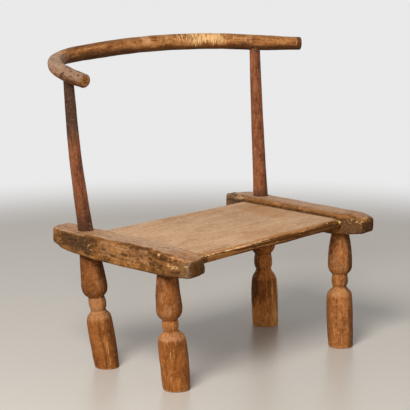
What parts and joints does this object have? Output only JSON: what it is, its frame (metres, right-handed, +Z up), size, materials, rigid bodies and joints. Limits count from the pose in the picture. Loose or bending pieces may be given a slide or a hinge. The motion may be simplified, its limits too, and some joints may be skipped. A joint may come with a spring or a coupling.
{
  "type": "chiefs stool",
  "caption": "Low carved wooden chair: plank seat between thick boat-shaped side rails, bulbous carved legs, tapered posts and a bent branch as back rail.",
  "frame": {"origin": "on the floor, under the middle of the overall box", "axes": "+Z up, the front faces -Y, +X to the right of someone who looks at the front"},
  "size_m": [0.5726, 0.4524, 0.5814],
  "materials": {
    "seat_wood": "worn matte plank",
    "rail_wood": "hewn, gouged and dark with age",
    "leg_wood": "carved, rubbed to a low sheen",
    "post_wood": "smooth dark sheen",
    "back_wood": "handled golden branch",
    "pin_wood": "dark peg"
  },
  "bodies": {
    "root": {"seat_board": "seat_wood", "left_rail": "rail_wood", "right_rail": "rail_wood", "front_left_leg": "leg_wood", "front_right_leg": "leg_wood", "rear_left_leg": "leg_wood", "rear_right_leg": "leg_wood", "left_post": "post_wood", "right_post": "post_wood", "back_rail": "back_wood", "left_pin": "pin_wood", "right_pin": "pin_wood"}
  },
  "joints": []
}
